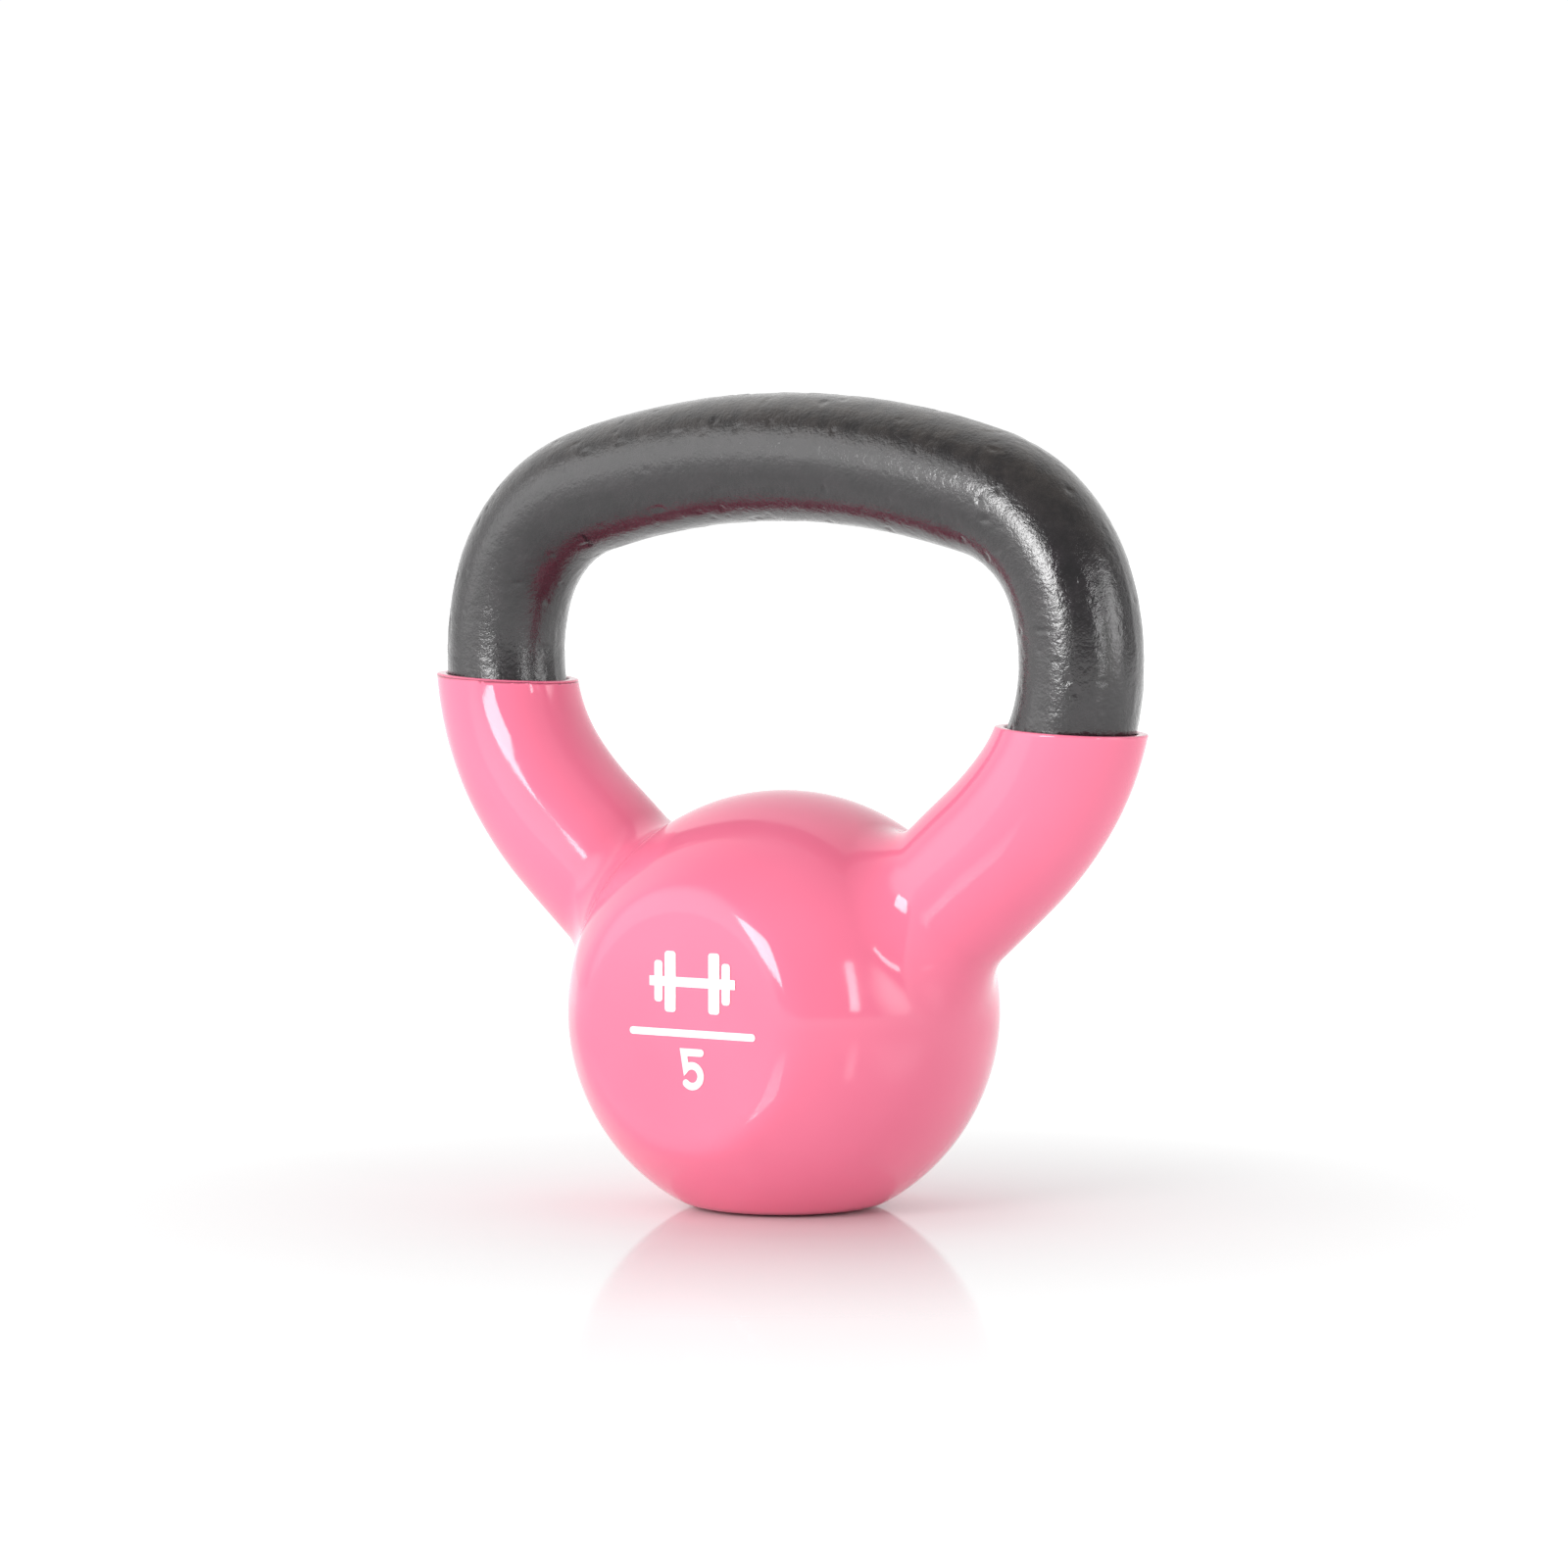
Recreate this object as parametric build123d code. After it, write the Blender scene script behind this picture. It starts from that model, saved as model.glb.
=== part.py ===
from build123d import *
import os

# Small vinyl-dipped kettlebell, in millimetres.
# Origin: centre of the flat base, on the floor. +X along the grip, -Y is the front face, +Z up.

# Ball, measured over the vinyl.
BALL_RADIUS = 38.5           # across X and Y
BALL_HALF_HEIGHT = 39.0      # the ball is a little taller than a true sphere
BALL_CENTRE_Z = 35.3         # lower than the half height, so the base is cut flat
FACE_DISTANCE = 31.8         # flat front and back discs, from the ball's axis

# Grip centreline, one half, from the middle of the top bar to the foot in the ball.
GRIP_TOP_Z = 133.3
TOP_BOW_RADIUS = 146.4       # the top bar is bowed
TOP_BOW_TURN = 16.6          # degrees, as are the other turns
SHOULDER_RADIUS = 26.6
SHOULDER_TURN = 54.9
LEG_RADIUS = 38.9
LEG_TURN = 54.9
HORN_RADIUS = 62.2
HORN_TURN = 12.2
HORN_FOOT_LENGTH = 44.0      # straight run from the horn's bend into the ball

# Radius of the bare casting. It changes along the grip, measured from the middle of the top bar.
TOP_BAR_RADIUS = 11.4
LEG_BAR_RADIUS = 10.9
HORN_FOOT_RADIUS = 11.85
TOP_TO_LEG = (29.0, 77.0)    # where the bar thins from the top bar to the leg
LEG_TO_FOOT = (87.0, 125.0)  # where it thickens from the leg to the foot
GRIP_STATIONS = 14           # sections in each half of the grip

# Vinyl jacket and its cut rims.
VINYL = 2.0                  # thickness
RIM_Z = 89.85                # height of the rim plane over the base centre
RIM_SLOPE = -3.3             # degrees: the rim plane drops towards +X, from a slightly tilted dip
MOUTH_GAP = 0.25             # the sleeve stands this far off the bar at its mouth
MOUTH_DEPTH = 1.5

# Edge roundings over the vinyl.
ROOT_FILLET = 6.0            # where the horns meet the ball
DISC_FILLET = 9.0            # around the front and back discs
BASE_FILLET = 1.5            # around the flat base

# White print on the front disc. Heights are over the ball's centre.
INK = 0.12                   # thickness
PRINT_X = 2.3                # the print sits a little towards +X
PICTOGRAM_Z = 7.1
DUMBBELL_BAR = (18.0, 1.7)   # length and height
DUMBBELL_INNER_PLATE = (2.3, 10.6)
DUMBBELL_OUTER_PLATE = (1.7, 7.2)
INNER_PLATE_X = 4.6          # from the pictogram's middle
OUTER_PLATE_X = 7.1
CORNER_RADIUS = 0.6
RULE = (26.4, 1.3)
RULE_Z = -1.8
NUMERAL_Z = -8.0
NUMERAL_HEIGHT = 7.2
NUMERAL_STROKE = 1.3
NUMERAL_HALF_WIDTH = 1.8

BEYOND = 200.0               # size of the blocks that cut planes


def smooth(value, low, high):
    """0 below low, 1 above high, an even blend between."""
    share = min(max((value - low) / (high - low), 0), 1)
    return share * share * (3 - 2 * share)


def bar_radius(distance):
    """Radius of the bare bar at a distance along the centreline from its middle."""
    thinning = smooth(distance, *TOP_TO_LEG) * (LEG_BAR_RADIUS - TOP_BAR_RADIUS)
    thickening = smooth(distance, *LEG_TO_FOOT) * (HORN_FOOT_RADIUS - LEG_BAR_RADIUS)
    return TOP_BAR_RADIUS + thinning + thickening


def half_grip_path():
    """Centreline of one half of the grip, as tangent arcs, from the top bar to the foot."""
    top = JernArc((0, GRIP_TOP_Z), (1, 0), TOP_BOW_RADIUS, -TOP_BOW_TURN)
    shoulder = JernArc(top @ 1, top % 1, SHOULDER_RADIUS, -SHOULDER_TURN)
    leg = JernArc(shoulder @ 1, shoulder % 1, LEG_RADIUS, -LEG_TURN)
    horn = JernArc(leg @ 1, leg % 1, HORN_RADIUS, -HORN_TURN)
    foot = Line(horn @ 1, (horn @ 1) + (horn % 1) * HORN_FOOT_LENGTH)
    return Plane.XZ * Wire([top, shoulder, leg, horn, foot])


def grip_bar(extra):
    """The whole grip, foot to foot, with its radius grown by extra."""
    path = half_grip_path()
    sections = []
    for station in range(-GRIP_STATIONS, GRIP_STATIONS + 1):
        distance = path.length * abs(station) / GRIP_STATIONS
        point = path.position_at(distance, PositionMode.LENGTH)
        run = path.tangent_at(distance, PositionMode.LENGTH)
        side = -1 if station < 0 else 1
        place = Plane((side * point.X, 0, point.Z), x_dir=(0, 1, 0), z_dir=(run.X, 0, side * run.Z))
        sections.append(place * Circle(bar_radius(distance) + extra))
    return loft(sections)


def ball(inset):
    """The ball with its flat base, front and back, and its whole surface moved in by inset."""
    outline = EllipticalCenterArc((0, BALL_CENTRE_Z), BALL_RADIUS - inset, BALL_HALF_HEIGHT - inset,
                                  -90, arc_size=180)
    half_section = make_face([outline, Line(outline @ 1, outline @ 0)])
    body = revolve(Plane.YZ * half_section, Axis.Z)
    body &= Box(BEYOND, 2 * (FACE_DISTANCE - inset), BEYOND)
    disc_edges = [edge for edge in body.edges()
                  if abs(abs(edge.center().Y) - FACE_DISTANCE + inset) < 0.1]
    body = fillet(disc_edges, DISC_FILLET)
    body &= Pos(0, 0, inset) * Box(BEYOND, BEYOND, BEYOND, align=(Align.CENTER, Align.CENTER, Align.MIN))
    base_edges = body.edges().filter_by_position(Axis.Z, inset - 0.1, inset + 0.1)
    return fillet(base_edges, BASE_FILLET)


def ball_with_grip(inset):
    """Ball and grip as one body, blended at the horns' roots. The horns' surface is moved in too."""
    joined = ball(inset) + grip_bar(VINYL - inset)
    roots = [edge for edge in joined.edges()
             if edge.is_closed and abs(edge.center().X) > BALL_RADIUS / 2]
    return fillet(roots, ROOT_FILLET + inset)


def under_rim(drop):
    """Everything below the tilted rim plane, less drop."""
    block = Box(BEYOND, BEYOND, BEYOND, align=(Align.CENTER, Align.CENTER, Align.MAX))
    return Pos(0, 0, RIM_Z - drop) * Rot(0, -RIM_SLOPE, 0) * block


def make_iron_casting():
    """Ball core, horns and bare grip: one iron casting."""
    return ball_with_grip(VINYL)


def make_vinyl_jacket(casting):
    """Dipped skin over the ball and the horns, cut off square at the two rims."""
    skin = (ball_with_grip(0) & under_rim(0)) - casting
    mouth = (grip_bar(MOUTH_GAP) & under_rim(0)) - under_rim(MOUTH_DEPTH)
    return skin - mouth


def printed(sketch, height):
    """A flat mark as a film of ink on the front disc, its middle at a height over the ball's centre."""
    front = Plane((PRINT_X, -FACE_DISTANCE, BALL_CENTRE_Z + height), x_dir=(1, 0, 0), z_dir=(0, -1, 0))
    return extrude(front * sketch, INK)


def make_dumbbell_emblem():
    """Generic dumbbell pictogram: a bar through two plates at each end."""
    mark = Rectangle(*DUMBBELL_BAR)
    for side in (-1, 1):
        mark += Pos(side * INNER_PLATE_X, 0) * RectangleRounded(*DUMBBELL_INNER_PLATE, CORNER_RADIUS)
        mark += Pos(side * OUTER_PLATE_X, 0) * RectangleRounded(*DUMBBELL_OUTER_PLATE, CORNER_RADIUS)
    return printed(mark, PICTOGRAM_Z)


def make_emblem_rule():
    """Plain round-ended rule under the pictogram."""
    return printed(SlotOverall(*RULE), RULE_Z)


def make_weight_numeral():
    """The numeral five, drawn with one round-ended stroke."""
    half_height = (NUMERAL_HEIGHT - NUMERAL_STROKE) / 2
    bowl_radius = NUMERAL_HALF_WIDTH
    bowl_centre = (0, bowl_radius - half_height)
    flag = Line((NUMERAL_HALF_WIDTH, half_height), (-NUMERAL_HALF_WIDTH, half_height))
    bowl = CenterArc(bowl_centre, bowl_radius, 135, arc_size=-270)
    stem = Line(flag @ 1, bowl @ 0)
    mark = Sketch() + trace([flag, stem, bowl], line_width=NUMERAL_STROKE)
    for end in (flag @ 0, flag @ 1, bowl @ 0, bowl @ 1):
        mark += Pos(end.X, end.Y) * Circle(NUMERAL_STROKE / 2)
    return printed(mark, NUMERAL_Z)


def main():
    os.makedirs("parts", exist_ok=True)
    casting = make_iron_casting()
    nodes = {
        "iron_casting": casting,
        "vinyl_jacket": make_vinyl_jacket(casting),
        "dumbbell_emblem": make_dumbbell_emblem(),
        "emblem_rule": make_emblem_rule(),
        "weight_numeral": make_weight_numeral(),
    }
    for name, node in nodes.items():
        export_step(node, f"parts/{name}.step")


main()
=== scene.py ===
"""Looks for the vinyl-dipped kettlebell: glossy pink jacket, black grainy grip, white print."""
from itertools import product
from math import cos, pi, radians, sin

import bmesh
import bpy
import numpy as np
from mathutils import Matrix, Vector


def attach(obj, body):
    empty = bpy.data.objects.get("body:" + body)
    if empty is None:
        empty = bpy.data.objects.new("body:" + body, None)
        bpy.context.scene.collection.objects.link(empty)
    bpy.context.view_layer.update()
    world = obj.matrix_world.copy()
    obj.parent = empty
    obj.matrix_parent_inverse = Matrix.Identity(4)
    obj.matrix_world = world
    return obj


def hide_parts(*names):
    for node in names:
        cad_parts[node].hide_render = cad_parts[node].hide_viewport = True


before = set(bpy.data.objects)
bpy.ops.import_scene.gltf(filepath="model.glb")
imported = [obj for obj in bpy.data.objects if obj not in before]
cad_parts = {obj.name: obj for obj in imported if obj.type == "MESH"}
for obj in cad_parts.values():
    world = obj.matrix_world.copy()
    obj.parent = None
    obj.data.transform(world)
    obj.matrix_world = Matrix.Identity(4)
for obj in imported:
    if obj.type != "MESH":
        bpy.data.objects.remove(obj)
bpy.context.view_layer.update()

# Shapes are in millimetres until a mesh is made. Materials, camera, floor and lights are in metres.
MM = 0.001

# ---------------------------------------------------------------- sizes, as in the CAD model
BALL_HALF = np.array((38.5, 38.5, 39.0))
BALL_CENTRE = np.array((0.0, 0.0, 35.3))
FACE_DISTANCE = 31.8
DISC_FILLET = 9.0
BASE_FILLET = 1.5
ROOT_FILLET = 6.0

GRIP_TOP_Z = 133.3
GRIP_ARCS = ((146.4, 16.6), (26.6, 54.9), (38.9, 54.9), (62.2, 12.2))  # radius, turn in degrees
FOOT_LENGTH = 40.0
TOP_BAR_RADIUS = 11.4
LEG_BAR_RADIUS = 10.9
HORN_FOOT_RADIUS = 11.85
TOP_TO_LEG = (29.0, 77.0)
LEG_TO_FOOT = (87.0, 125.0)

VINYL = 2.0
RIM_Z = 89.85
RIM_SLOPE = radians(3.3)
MOUTH_DEPTH = 1.5
RIM_NORMAL = np.array((sin(RIM_SLOPE), 0.0, cos(RIM_SLOPE)))
RIM_POINT = np.array((0.0, 0.0, RIM_Z))


# ---------------------------------------------------------------- noise
def lattice_noise(points, cell, seed):
    """Smooth value noise from -1 to 1, one random value for each corner of a lattice of cells."""
    scaled = points / cell
    base = np.floor(scaled).astype(np.int64)
    part = scaled - base
    weight = part * part * (3 - 2 * part)
    total = np.zeros(len(points))
    for corner in product((0, 1), repeat=3):
        i, j, k = ((base + corner) & 0xFFFF).astype(np.uint64).T
        mixed = i * np.uint64(374761393) + j * np.uint64(668265263) + k * np.uint64(2246822519)
        mixed = (mixed + np.uint64(seed * 3266489917)) & np.uint64(0xFFFFFFFF)
        mixed = ((mixed ^ (mixed >> np.uint64(15))) * np.uint64(2246822519)) & np.uint64(0xFFFFFFFF)
        mixed = ((mixed ^ (mixed >> np.uint64(13))) * np.uint64(3266489917)) & np.uint64(0xFFFFFFFF)
        value = (mixed ^ (mixed >> np.uint64(16))).astype(float) / 0x7FFFFFFF - 1
        share = np.prod(np.where(corner, weight, 1 - weight), axis=1)
        total += share * value
    return total


# ---------------------------------------------------------------- the grip's centreline
def smooth_step(value, low, high):
    """0 below low, 1 above high, an even blend between."""
    share = np.clip((value - low) / (high - low), 0, 1)
    return share * share * (3 - 2 * share)


def bar_radius(distance):
    """Radius of the bare bar at a distance along the centreline from its middle."""
    thinning = smooth_step(distance, *TOP_TO_LEG) * (LEG_BAR_RADIUS - TOP_BAR_RADIUS)
    thickening = smooth_step(distance, *LEG_TO_FOOT) * (HORN_FOOT_RADIUS - LEG_BAR_RADIUS)
    return TOP_BAR_RADIUS + thinning + thickening


def make_arcs():
    """The half centreline, arc by arc, and where its straight foot starts.

    An arc is its centre x and z, its radius, its first and last heading, and its first distance.
    """
    arcs = []
    x, z, heading, distance = 0.0, GRIP_TOP_Z, 0.0, 0.0
    for radius, turn in GRIP_ARCS:
        centre_x, centre_z = x - radius * sin(heading), z - radius * cos(heading)
        last = heading + radians(turn)
        arcs.append((centre_x, centre_z, radius, heading, last, distance))
        x, z = centre_x + radius * sin(last), centre_z + radius * cos(last)
        distance += radius * radians(turn)
        heading = last
    return arcs, (x, z, heading, distance)


ARCS, FOOT = make_arcs()


def on_centreline(distance):
    """Points (x, z) and headings of the half centreline at an array of distances from its middle."""
    foot_x, foot_z, foot_heading, foot_start = FOOT
    run = distance - foot_start
    x = foot_x + run * cos(foot_heading)
    z = foot_z - run * sin(foot_heading)
    heading = np.full_like(distance, foot_heading)
    for centre_x, centre_z, radius, first, last, start in ARCS:
        here = (distance >= start) & (distance <= start + radius * (last - first))
        angle = first + (distance - start) / radius
        x = np.where(here, centre_x + radius * np.sin(angle), x)
        z = np.where(here, centre_z + radius * np.cos(angle), z)
        heading = np.where(here, angle, heading)
    return x, z, heading


# ---------------------------------------------------------------- distance fields
def grip_field(points, extra):
    """Distance to the grip's surface, with its radius grown by extra."""
    x, y, z = np.abs(points[:, 0]), points[:, 1], points[:, 2]
    best = np.full(len(points), 1e9)
    for centre_x, centre_z, radius, first, last, start in ARCS:
        angle = np.clip(np.arctan2(x - centre_x, z - centre_z), first, last)
        gap_x = x - centre_x - radius * np.sin(angle)
        gap_z = z - centre_z - radius * np.cos(angle)
        away = np.sqrt(gap_x ** 2 + y ** 2 + gap_z ** 2)
        best = np.minimum(best, away - bar_radius(start + radius * (angle - first)))
    foot_x, foot_z, heading, start = FOOT
    run = np.clip((x - foot_x) * cos(heading) - (z - foot_z) * sin(heading), 0, FOOT_LENGTH)
    gap_x = x - foot_x - run * cos(heading)
    gap_z = z - foot_z + run * sin(heading)
    away = np.sqrt(gap_x ** 2 + y ** 2 + gap_z ** 2)
    return np.minimum(best, away - bar_radius(start + run)) - extra


def rounded_overlap(first, second, radius):
    """Where both solids are, with the edge between them rounded."""
    corner = np.hypot(np.maximum(first + radius, 0), np.maximum(second + radius, 0))
    return np.minimum(np.maximum(first, second), -radius) + corner


def filleted_union(first, second, radius):
    """Both solids together, with the crease between them filled."""
    corner = np.hypot(np.maximum(radius - first, 0), np.maximum(radius - second, 0))
    return np.maximum(np.minimum(first, second), radius) - corner


def ball_field(points, inset):
    """Distance to the flattened ball, its surface moved in by inset."""
    half = BALL_HALF - inset
    x, y, z = ((points - BALL_CENTRE) * (half[0] / half)).T
    # The ball less its edge rounding is a smaller ball between two closer discs, and its edge is a ring.
    radius, face = half[0] - DISC_FILLET, FACE_DISTANCE - inset - DISC_FILLET
    ring = np.sqrt(radius ** 2 - face ** 2)
    out, front = np.hypot(x, z), np.abs(y)
    to_disc = front - face
    to_ball = np.hypot(out, front) - radius
    to_ring = np.hypot(out - ring, to_disc)
    beside_ring = np.where(out * face > ring * front, to_ball, to_ring)
    outside = np.where(out < ring, to_disc, beside_ring)
    inside = np.maximum(to_disc, to_ball)
    rounded = np.where(inside < 0, inside, outside) - DISC_FILLET
    return rounded_overlap(rounded, inset - points[:, 2], BASE_FILLET)


def body_field(points, inset):
    """Ball and grip as one blended body, its surface moved in from the vinyl's by inset."""
    return filleted_union(ball_field(points, inset), grip_field(points, VINYL - inset), ROOT_FILLET + inset)


# ---------------------------------------------------------------- meshing a distance field
def settle(field, points, rounds):
    """Moves points onto the field's surface and gives their normals."""
    tiny = 0.02
    for _ in range(rounds):
        slope = np.stack([field(points + tiny * axis) - field(points - tiny * axis) for axis in np.eye(3)], 1)
        slope /= 2 * tiny
        points = points - (field(points) / np.maximum((slope ** 2).sum(1), 0.05))[:, None] * slope
    return points, slope / np.linalg.norm(slope, axis=1, keepdims=True)


def surface_net(field, low, high, step):
    """Points and four-sided faces of a field's surface, one point in each cell that the surface crosses."""
    counts = np.ceil((np.array(high) - low) / step).astype(int) + 1
    axes = [low[i] + step * np.arange(counts[i]) for i in range(3)]
    grid = np.stack(np.meshgrid(*axes, indexing="ij"), -1)
    values = field(grid.reshape(-1, 3)).reshape(counts)
    total = np.zeros((*(counts - 1), 3))
    hits = np.zeros(counts - 1, int)
    crossings = []
    for axis in range(3):
        near = [slice(None)] * 3
        far = [slice(None)] * 3
        near[axis], far[axis] = slice(0, -1), slice(1, None)
        start, end = values[tuple(near)], values[tuple(far)]
        crossed = (start < 0) != (end < 0)
        crossings.append((crossed, start < 0))
        share = np.where(crossed, start / np.where(crossed, start - end, 1), 0)
        points = grid[tuple(near)] + share[..., None] * step * np.eye(3)[axis]
        others = [i for i in range(3) if i != axis]
        for shift in product((0, 1), repeat=2):
            part = [slice(None)] * 3
            for i, by in zip(others, shift):
                part[i] = slice(by, counts[i] - 1 + by)
            total += points[tuple(part)] * crossed[tuple(part)][..., None]
            hits += crossed[tuple(part)]
    used = hits > 0
    index = np.full(hits.shape, -1)
    index[used] = np.arange(used.sum())
    faces = []
    for axis, (crossed, starts_inside) in enumerate(crossings):
        a, b = [i for i in range(3) if i != axis]
        place = np.argwhere(crossed)
        place = place[(place[:, a] > 0) & (place[:, b] > 0)]
        place = place[(place[:, a] < counts[a] - 1) & (place[:, b] < counts[b] - 1)]
        step_a, step_b = np.eye(3, dtype=int)[a], np.eye(3, dtype=int)[b]
        corners = [place - step_a - step_b, place - step_b, place, place - step_a]
        quad = np.stack([index[tuple(corner.T)] for corner in corners], 1)
        turned = starts_inside[tuple(place.T)] == (axis == 1)
        quad[turned] = quad[turned][:, ::-1]
        faces.append(quad)
    return settle_net(field, total[used] / hits[used][:, None], np.concatenate(faces))


def settle_net(field, points, faces, rounds=4):
    """Evens out a net's faces along the surface."""
    ends = np.concatenate([faces[:, [i, (i + 1) % 4]] for i in range(4)])
    for _ in range(rounds):
        sums = np.stack([np.bincount(ends[:, 0], points[ends[:, 1], i], len(points))
                         + np.bincount(ends[:, 1], points[ends[:, 0], i], len(points)) for i in range(3)], 1)
        count = np.bincount(ends[:, 0], minlength=len(points)) + np.bincount(ends[:, 1], minlength=len(points))
        points = 0.5 * points + 0.5 * sums / count[:, None]
        points, normals = settle(field, points, 1)
    points, normals = settle(field, points, 2)
    return points, normals, faces


def new_mesh(name, points, faces):
    """A Blender mesh in metres, from points in millimetres."""
    mesh = bpy.data.meshes.new(name)
    mesh.from_pydata((points * MM).tolist(), [], [list(face) for face in faces])
    return mesh


def add_piece(name, mesh, material, node):
    """A finished piece that stands for a CAD node."""
    mesh.materials.append(material)
    mesh.shade_smooth()
    piece = bpy.data.objects.new(name, mesh)
    bpy.context.scene.collection.objects.link(piece)
    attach(piece, "root")
    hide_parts(node)


# ---------------------------------------------------------------- vinyl jacket
JACKET_STEP = 0.8           # size of the net's cells on the outside
INNER_STEP = 1.6            # and on the hidden surfaces inside
JACKET_LOW = np.array((-76.0, -34.0, -2.0))
JACKET_HIGH = np.array((76.0, 34.0, 98.0))
# The lip of each cut rim: steps in from the outer wall, and up from the rim plane.
LIP = ((0.05, -0.16), (0.15, -0.05), (0.3, 0.0), (0.8, 0.0), (1.4, 0.0), (1.62, -0.04), (1.72, -0.15),
       (1.75, -0.5), (1.75, -MOUTH_DEPTH))
LIP_START = 0.4             # the outer wall is cut this far under the rim plane
SWELL_DEPTH = 0.03          # a dip never dries quite even
SWELL_CELLS = (9.0, 17.0)


def cut_open(points, faces, drop, name):
    """A bmesh of the net with everything above the rim plane, less drop, cut away."""
    shell = bmesh.new()
    mesh = new_mesh(name, points, faces)
    shell.from_mesh(mesh)
    bpy.data.meshes.remove(mesh)
    whole = shell.verts[:] + shell.edges[:] + shell.faces[:]
    plane_point = Vector((RIM_POINT - drop * RIM_NORMAL) * MM)
    bmesh.ops.bisect_plane(shell, geom=whole, plane_co=plane_point, plane_no=Vector(RIM_NORMAL),
                           clear_outer=True, dist=1e-7)
    return shell


def open_loops(shell):
    """The two boundary loops of an opened shell, each a list of points in order."""
    rims = []
    left = dict.fromkeys(edge for edge in shell.edges if edge.is_boundary)
    while left:
        edge, _ = left.popitem()
        loop = [edge.verts[0], edge.verts[1]]
        while True:
            onward = [e for e in loop[-1].link_edges if e in left]
            if not onward:
                break
            del left[onward[0]]
            loop.append(onward[0].other_vert(loop[-1]))
        rims.append(loop[:-1])
    return rims


def add_lip(shell, loop):
    """Rings from the outer wall's cut, over the lip and down into the mouth."""
    centre = sum((vert.co for vert in loop), Vector()) / len(loop)
    inward = []
    for vert in loop:
        way = centre - vert.co
        way -= Vector(RIM_NORMAL) * way.dot(Vector(RIM_NORMAL))
        inward.append(way.normalized())
    ring, starts = loop, [vert.co.copy() for vert in loop]
    for step_in, step_up in LIP:
        rise = Vector(RIM_NORMAL) * (step_up + LIP_START) * MM
        fresh = [shell.verts.new(start + way * step_in * MM + rise) for start, way in zip(starts, inward)]
        for i in range(len(ring)):
            j = (i + 1) % len(ring)
            shell.faces.new((ring[i], ring[j], fresh[j], fresh[i]))
        ring = fresh


def ring_edges(shell, ring):
    """The edges between the points of a closed ring."""
    return [shell.edges.get((ring[i], ring[(i + 1) % len(ring)])) for i in range(len(ring))]


def make_jacket_mesh():
    """The dipped skin: outer wall, lips of the two mouths, and the wall against the iron."""
    outer_points, normals, outer_faces = surface_net(
        lambda p: body_field(p, 0), JACKET_LOW, JACKET_HIGH, JACKET_STEP)
    first, second = (lattice_noise(outer_points, cell, seed) for seed, cell in enumerate(SWELL_CELLS, 1))
    swell = 0.5 * first + 0.5 * second - 1
    outer_points = outer_points + normals * (swell * SWELL_DEPTH)[:, None]
    shell = cut_open(outer_points, outer_faces, LIP_START, "outer")
    for loop in open_loops(shell):
        add_lip(shell, loop)
    inner_points, _, inner_faces = surface_net(
        lambda p: body_field(p, VINYL), JACKET_LOW, JACKET_HIGH, INNER_STEP)
    inner = cut_open(inner_points, inner_faces[:, ::-1], MOUTH_DEPTH, "inner")
    joined = bpy.data.meshes.new("joined")
    inner.to_mesh(joined)
    inner.free()
    shell.from_mesh(joined)
    bpy.data.meshes.remove(joined)
    rims = open_loops(shell)
    for side in (-1, 1):
        pair = [edge for rim in rims if rim[0].co.x * side > 0 for edge in ring_edges(shell, rim)]
        bmesh.ops.bridge_loops(shell, edges=pair)
    bmesh.ops.recalc_face_normals(shell, faces=shell.faces[:])
    mesh = bpy.data.meshes.new("vinyl_jacket_skin")
    shell.to_mesh(mesh)
    shell.free()
    return mesh


# ---------------------------------------------------------------- iron casting
GRIP_END = 100.0            # the bare bar is meshed this far from its middle, well inside the sleeves
GRIP_RINGS = 440
GRIP_SIDES = 160
CORE_GAP = 0.05             # the hidden core is this much smaller than the jacket's inside
CORE_DROP = 8.0             # and ends this far under the rims
SEAM_WIDTH = 0.05           # half width of the parting line, as a share of the bar's radius


def casting_relief(points, crown):
    """Depth of the sand-cast surface under its smooth shape. Crown is 1 along the mould's parting line."""
    lumps = 0.05 * lattice_noise(points, 7.0, 11)
    ripple = 0.020 * lattice_noise(points, 2.6, 12)
    grain = 0.022 * lattice_noise(points, 1.25, 13)
    pits = -0.55 * np.maximum(lattice_noise(points, 1.7, 14) - 0.58, 0)
    seam = 0.06 * crown * (1 + lattice_noise(points, 2.2, 15))
    return np.minimum(lumps + ripple + grain + pits + seam - 0.1, 0)


def make_grip_points():
    """Points of the bare grip, ring by ring along it, with the cast relief."""
    along = np.linspace(-GRIP_END, GRIP_END, GRIP_RINGS)
    around = np.arange(GRIP_SIDES) * 2 * pi / GRIP_SIDES
    x, z, heading = on_centreline(np.abs(along))
    side = np.where(along < 0, -1.0, 1.0)
    outward = np.stack([side * np.sin(heading), np.zeros_like(x), np.cos(heading)], 1)
    centre = np.stack([side * x, np.zeros_like(x), z], 1)
    normal = (np.cos(around)[None, :, None] * outward[:, None, :]
              + np.sin(around)[None, :, None] * np.array((0.0, 1.0, 0.0)))
    points = centre[:, None, :] + normal * bar_radius(np.abs(along))[:, None, None]
    crown = np.exp(-(np.sin(around) / SEAM_WIDTH) ** 2)
    crown = np.broadcast_to(crown, points.shape[:2]).reshape(-1)
    points, normal = points.reshape(-1, 3), normal.reshape(-1, 3)
    return points + normal * casting_relief(points, crown)[:, None]


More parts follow.
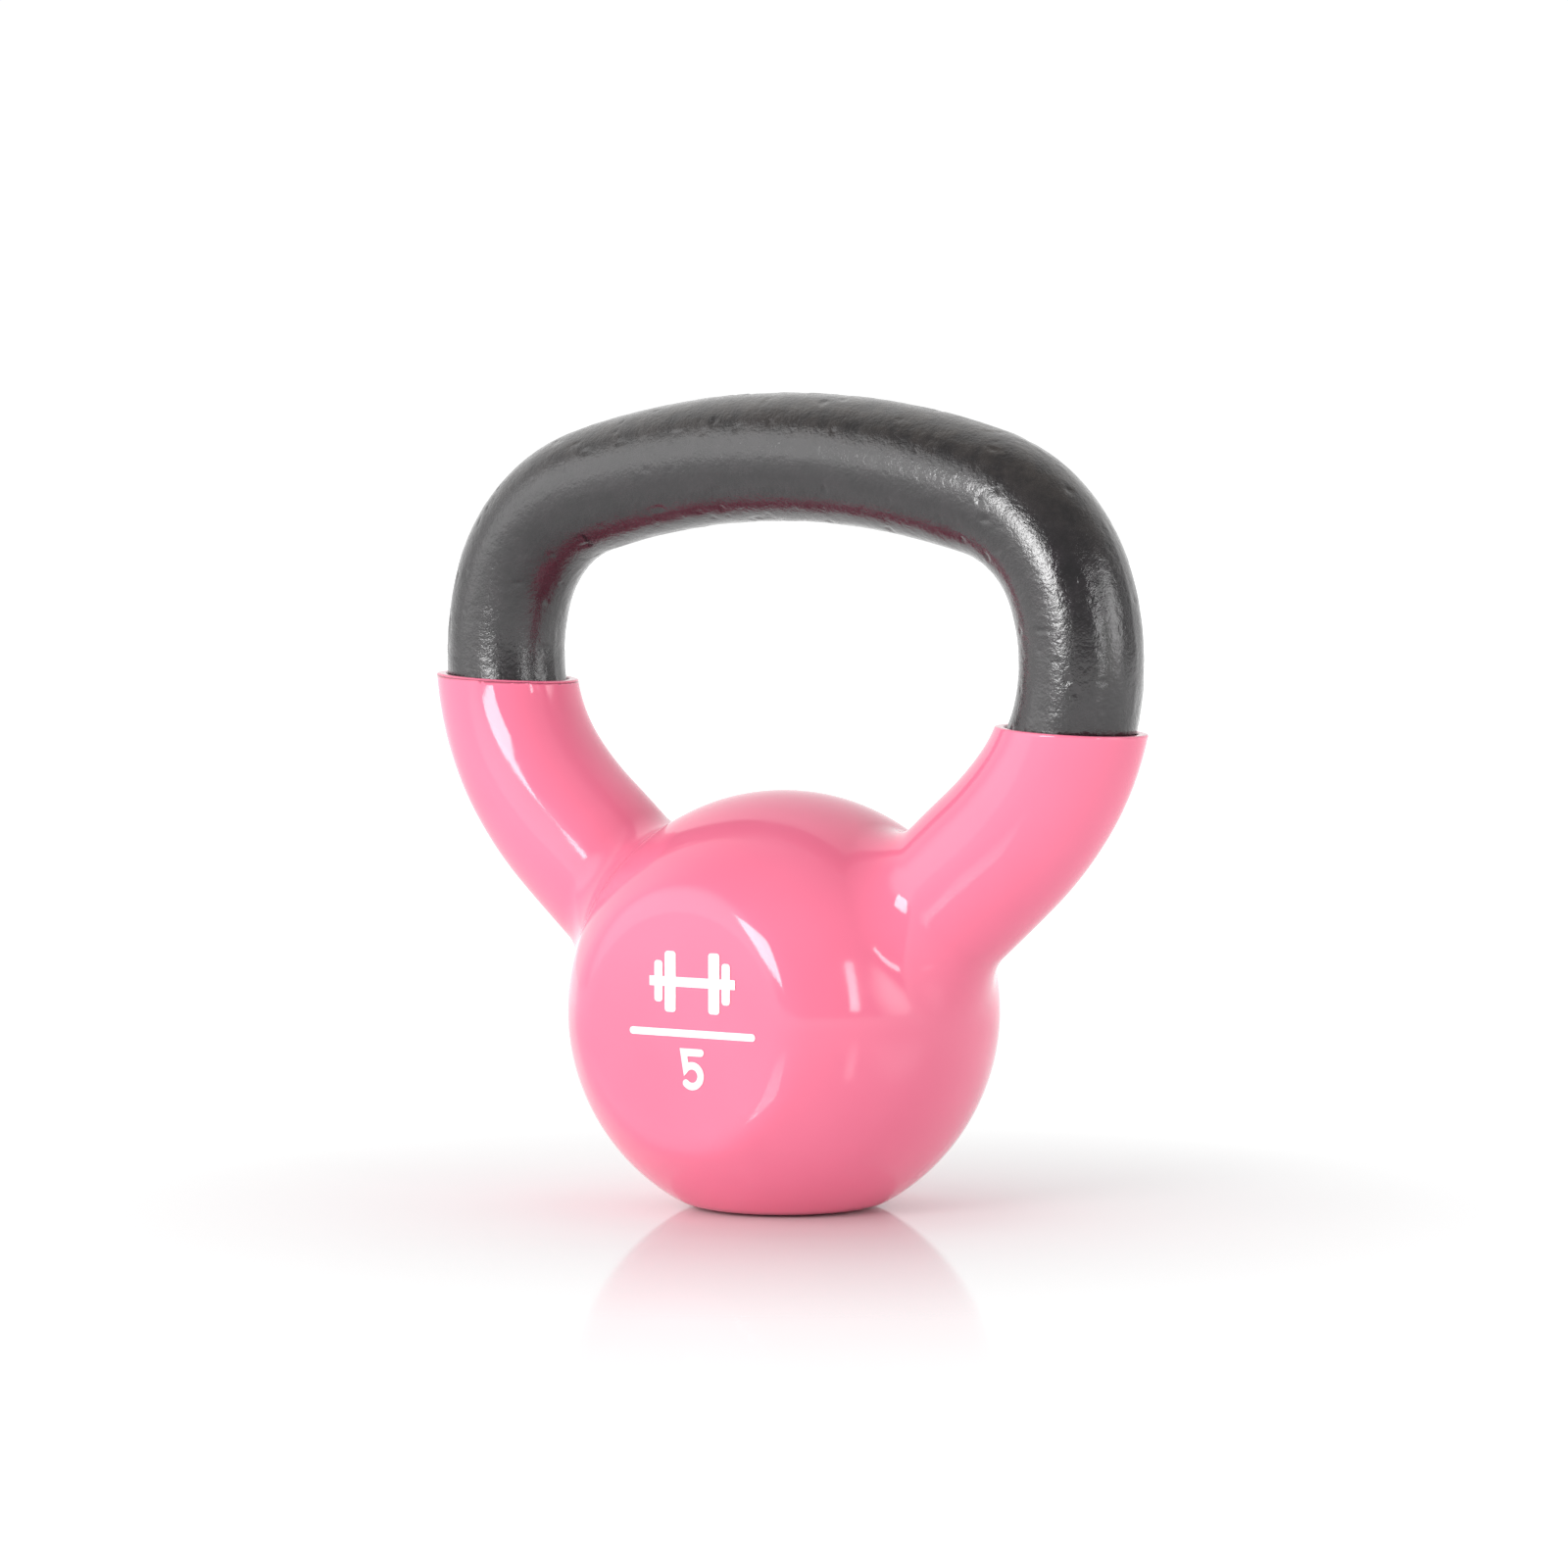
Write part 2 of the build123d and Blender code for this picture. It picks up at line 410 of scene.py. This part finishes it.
def make_casting_mesh():
    """The bare grip with its cast relief, closed at both ends, and the hidden core of ball and horns."""
    ring = np.arange(GRIP_RINGS * GRIP_SIDES).reshape(GRIP_RINGS, GRIP_SIDES)
    after = np.roll(ring, -1, axis=1)
    walls = np.stack([ring[:-1], ring[1:], after[1:], after[:-1]], -1).reshape(-1, 4)
    faces = walls.tolist() + [ring[0].tolist(), ring[-1][::-1].tolist()]
    grip = new_mesh("grip", make_grip_points(), faces)
    core_points, _, core_faces = surface_net(
        lambda p: body_field(p, VINYL + CORE_GAP), JACKET_LOW, JACKET_HIGH, INNER_STEP)
    both = cut_open(core_points, core_faces, CORE_DROP, "core")
    bmesh.ops.holes_fill(both, edges=[edge for edge in both.edges if edge.is_boundary])
    both.from_mesh(grip)
    bpy.data.meshes.remove(grip)
    bmesh.ops.recalc_face_normals(both, faces=both.faces[:])
    mesh = bpy.data.meshes.new("iron_casting_body")
    both.to_mesh(mesh)
    both.free()
    return mesh


# ---------------------------------------------------------------- materials
class Nodes:
    """A short way to build a node tree."""

    def __init__(self, tree):
        self.tree = tree

    def add(self, kind, inputs=None, **settings):
        node = self.tree.nodes.new(kind)
        for name, value in settings.items():
            setattr(node, name, value)
        for name, value in (inputs or {}).items():
            socket = node.inputs[name]
            if isinstance(value, bpy.types.NodeSocket):
                self.tree.links.new(value, socket)
            else:
                socket.default_value = value
        return node

    def noise(self, coordinates, scale, detail=3.0, roughness=0.5):
        return self.add("ShaderNodeTexNoise", {"Vector": coordinates, "Scale": scale, "Detail": detail,
                                               "Roughness": roughness}).outputs["Fac"]

    def range(self, value, low, high, to_low, to_high):
        return self.add("ShaderNodeMapRange", {"Value": value, "From Min": low, "From Max": high,
                                               "To Min": to_low, "To Max": to_high}).outputs["Result"]

    def blend(self, share, first, second):
        node = self.add("ShaderNodeMix", data_type="RGBA")
        for i, value in ((0, share), (6, first), (7, second)):
            if isinstance(value, bpy.types.NodeSocket):
                self.tree.links.new(value, node.inputs[i])
            else:
                node.inputs[i].default_value = value
        return node.outputs[2]

    def bump(self, height, distance, strength=1.0, under=None):
        inputs = {"Height": height, "Distance": distance, "Strength": strength}
        if under is not None:
            inputs["Normal"] = under
        return self.add("ShaderNodeBump", inputs).outputs["Normal"]


def new_material(name):
    """A material with an empty node tree."""
    material = bpy.data.materials.new(name)
    material.use_nodes = True
    tree = material.node_tree
    tree.nodes.clear()
    return material, Nodes(tree)


def surface(nodes, **inputs):
    """Ends the node tree in one principled shader."""
    shader = nodes.add("ShaderNodeBsdfPrincipled", inputs)
    out = nodes.add("ShaderNodeOutputMaterial")
    nodes.tree.links.new(shader.outputs[0], out.inputs["Surface"])


def rgb(red, green, blue):
    return (red, green, blue, 1.0)


def make_vinyl():
    """Glossy pink vinyl with a faint orange peel and patches of handling wear."""
    material, nodes = new_material("pink_vinyl")
    place = nodes.add("ShaderNodeTexCoord").outputs["Object"]
    clouds = nodes.noise(place, 40.0, 2.0)
    colour = nodes.blend(nodes.range(clouds, 0.3, 0.7, 0.0, 1.0),
                         rgb(0.835, 0.178, 0.292), rgb(0.865, 0.193, 0.312))
    handling = nodes.noise(place, 160.0, 4.0)
    roughness = nodes.range(handling, 0.35, 0.7, 0.07, 0.13)
    peel = nodes.noise(place, 900.0, 2.0)
    normal = nodes.bump(peel, 0.00001, 0.35)
    surface(nodes, **{"Base Color": colour, "Roughness": roughness, "IOR": 1.5, "Normal": normal})
    return material


def make_enamel():
    """Thin black semi-gloss enamel over cast grain, browner and lighter where the surface faces up."""
    material, nodes = new_material("enamelled_iron")
    place = nodes.add("ShaderNodeTexCoord").outputs["Object"]
    normal_now = nodes.add("ShaderNodeNewGeometry").outputs["Normal"]
    up = nodes.add("ShaderNodeSeparateXYZ", {"Vector": normal_now}).outputs["Z"]
    grain = nodes.noise(place, 1500.0, 3.0, 0.6)
    mottle = nodes.noise(place, 260.0, 5.0, 0.65)
    clouds = nodes.noise(place, 70.0, 3.0)
    colour = nodes.blend(nodes.range(mottle, 0.35, 0.65, 0.0, 1.0),
                         rgb(0.006, 0.005, 0.006), rgb(0.015, 0.012, 0.014))
    # A browner, lighter tone where the surface faces up, set by the normal's height and broken by the mottle.
    facing_up_tint = nodes.add("ShaderNodeMath", {0: nodes.range(up, 0.25, 0.95, 0.0, 0.6),
                                         1: nodes.range(mottle, 0.4, 0.6, 0.3, 1.0)},
                      operation="MULTIPLY").outputs[0]
    colour = nodes.blend(facing_up_tint, colour, rgb(0.060, 0.050, 0.040))
    roughness = nodes.add("ShaderNodeMath", {0: nodes.range(grain, 0.35, 0.65, 0.13, 0.27),
                                             1: nodes.range(clouds, 0.3, 0.7, -0.05, 0.08)},
                          operation="ADD").outputs[0]
    fine = nodes.bump(grain, 0.00008, 1.0)
    normal = nodes.bump(nodes.noise(place, 520.0, 3.0, 0.6), 0.00008, 0.9, fine)
    surface(nodes, **{"Base Color": colour, "Roughness": roughness, "IOR": 1.65, "Normal": normal,
                      "Coat Weight": 0.3, "Coat Roughness": 0.08, "Coat IOR": 1.5, "Coat Normal": normal})
    return material


def make_ink():
    """White screen print with a fine speckle."""
    material, nodes = new_material("white_ink")
    place = nodes.add("ShaderNodeTexCoord").outputs["Object"]
    speckle = nodes.noise(place, 1200.0, 3.0)
    colour = nodes.blend(nodes.range(speckle, 0.35, 0.65, 0.0, 1.0),
                         rgb(0.86, 0.80, 0.83), rgb(0.92, 0.89, 0.91))
    normal = nodes.bump(speckle, 0.00002, 0.4)
    surface(nodes, **{"Base Color": colour, "Roughness": nodes.range(speckle, 0.3, 0.7, 0.25, 0.4),
                      "IOR": 1.48, "Normal": normal})
    return material


# ---------------------------------------------------------------- camera, floor and light
CAMERA_AZIMUTH = radians(34.0)
CAMERA_ELEVATION = radians(3.158)
CAMERA_DISTANCE = 1.0128
CAMERA_TARGET = Vector((0, 0, 0.0753))
CAMERA_LENS = 130.97
SENSOR = 36.0


def direction(azimuth, elevation):
    """Unit vector towards an azimuth (0 in front of the printed disc, 90 at +X) and an elevation."""
    return Vector((sin(azimuth) * cos(elevation), -cos(azimuth) * cos(elevation), sin(elevation)))


def make_camera():
    """The camera at the photograph's viewing angle."""
    back = direction(CAMERA_AZIMUTH, CAMERA_ELEVATION)
    data = bpy.data.cameras.new("camera")
    data.lens = CAMERA_LENS
    data.sensor_width = SENSOR
    data.clip_start = 0.01
    data.clip_end = 20
    camera = bpy.data.objects.new("camera", data)
    camera.location = CAMERA_TARGET + back * CAMERA_DISTANCE
    camera.rotation_euler = (-back).to_track_quat("-Z", "Y").to_euler()
    bpy.context.scene.collection.objects.link(camera)
    bpy.context.scene.camera = camera


SOFTBOX_DISTANCE = 0.9
# Each softbox: azimuth, width, its lower and upper edge over the floor, and brightness.
SOFTBOXES = {
    "key_box": (radians(-4), 0.34, 0.16, 0.50, 13.0),
    "side_strip": (radians(71), 0.075, 0.08, 0.48, 9.0),
}
# Each soft glow of the surroundings: its middle, the cosines at its edge and its core, and brightness.
GLOWS = (
    (-direction(CAMERA_AZIMUTH, 0), -0.1, 0.55, 0.8),                 # backdrop
    (direction(radians(-38), radians(16)), 0.80, 0.97, 2.0),          # wall at the left
    (direction(radians(100), radians(13)), 0.94, 0.995, 3.6),         # window at the right
)
DIM = 0.33                      # brightness of the surroundings elsewhere
SEEN = 1.05                     # brightness that the camera sees behind the object


def make_softbox(name, azimuth, width, low, high, radiance):
    """Upright light that faces the object and that the camera doesn't see, from low to high over the floor."""
    way = direction(azimuth, 0)
    height = high - low
    data = bpy.data.lights.new(name, "AREA")
    data.shape = "RECTANGLE"
    data.size, data.size_y = width, height
    data.energy = radiance * pi * width * height
    light = bpy.data.objects.new(name, data)
    light.location = way * SOFTBOX_DISTANCE + Vector((0, 0, (low + high) / 2))
    light.rotation_euler = way.to_track_quat("Z", "Y").to_euler()
    light.visible_camera = False
    bpy.context.scene.collection.objects.link(light)


def make_world():
    """Dim surroundings with soft glows, which the camera itself sees as plain white."""
    world = bpy.data.worlds.new("studio")
    bpy.context.scene.world = world
    world.use_nodes = True
    nodes = Nodes(world.node_tree)
    world.node_tree.nodes.clear()
    way = nodes.add("ShaderNodeTexCoord").outputs["Generated"]
    total = DIM
    for middle, edge, core, strength in GLOWS:
        near = nodes.add("ShaderNodeVectorMath", {0: way, 1: middle}, operation="DOT_PRODUCT").outputs["Value"]
        glow = nodes.add("ShaderNodeMapRange", {"Value": near, "From Min": edge, "From Max": core,
                                                "To Min": 0.0, "To Max": strength},
                         interpolation_type="SMOOTHSTEP").outputs["Result"]
        total = nodes.add("ShaderNodeMath", {0: glow, 1: total}, operation="ADD").outputs[0]
    seen = nodes.add("ShaderNodeLightPath").outputs["Is Camera Ray"]
    strength = nodes.add("ShaderNodeMix", {0: seen, 2: total, 3: SEEN}, data_type="FLOAT").outputs[0]
    background = nodes.add("ShaderNodeBackground", {"Color": rgb(1, 1, 1), "Strength": strength})
    out = nodes.add("ShaderNodeOutputWorld")
    nodes.tree.links.new(background.outputs[0], out.inputs[0])


FLOOR_HALF = 6.0
MIRROR_SHARE = 0.28             # share of mirror beside the base
MIRROR_REACH = (0.06, 0.205)    # it fades to none between these distances from the base centre
SHADE_REACH = (0.04, 0.14)      # and so does the floor's own shading between these
GLOW_REACH = (0.25, 0.6)        # the glow rises between these distances
GLOW = (1.03, 1.4)              # from this brightness to this


def make_floor():
    """Plain white floor that glows. Its shading and its mirror image fade evenly away from the base."""
    mesh = bpy.data.meshes.new("floor")
    corners = [(x * FLOOR_HALF, y * FLOOR_HALF, 0) for x, y in ((-1, -1), (1, -1), (1, 1), (-1, 1))]
    mesh.from_pydata(corners, [], [(0, 1, 2, 3)])
    floor = bpy.data.objects.new("floor", mesh)
    bpy.context.scene.collection.objects.link(floor)
    material, nodes = new_material("white_acrylic")
    place = nodes.add("ShaderNodeTexCoord").outputs["Object"]
    away = nodes.add("ShaderNodeVectorMath", {0: place}, operation="LENGTH").outputs["Value"]
    white = nodes.add("ShaderNodeBsdfDiffuse", {"Color": rgb(0.84, 0.84, 0.84)})
    glow = nodes.add("ShaderNodeEmission", {"Color": rgb(1, 1, 1),
                                            "Strength": nodes.range(away, *GLOW_REACH, *GLOW)})
    ground = nodes.add("ShaderNodeMixShader", {0: nodes.range(away, *SHADE_REACH, 0.0, 1.0),
                                               1: white.outputs[0], 2: glow.outputs[0]})
    mirror = nodes.add("ShaderNodeBsdfGlossy", {"Color": rgb(0.98, 0.98, 0.98), "Roughness": 0.06})
    both = nodes.add("ShaderNodeMixShader", {0: nodes.range(away, *MIRROR_REACH, MIRROR_SHARE, 0.0),
                                             1: ground.outputs[0], 2: mirror.outputs[0]})
    out = nodes.add("ShaderNodeOutputMaterial")
    nodes.tree.links.new(both.outputs[0], out.inputs["Surface"])
    mesh.materials.append(material)


# ---------------------------------------------------------------- the scene
make_camera()
make_world()
make_floor()
for softbox, values in SOFTBOXES.items():
    make_softbox(softbox, *values)

ink = make_ink()
for node in ("dumbbell_emblem", "emblem_rule", "weight_numeral"):
    print_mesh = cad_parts[node].data
    print_mesh.materials.clear()
    print_mesh.materials.append(ink)

add_piece("vinyl_jacket_skin", make_jacket_mesh(), make_vinyl(), "vinyl_jacket")
add_piece("iron_casting_body", make_casting_mesh(), make_enamel(), "iron_casting")

bpy.context.scene.view_settings.view_transform = "Standard"
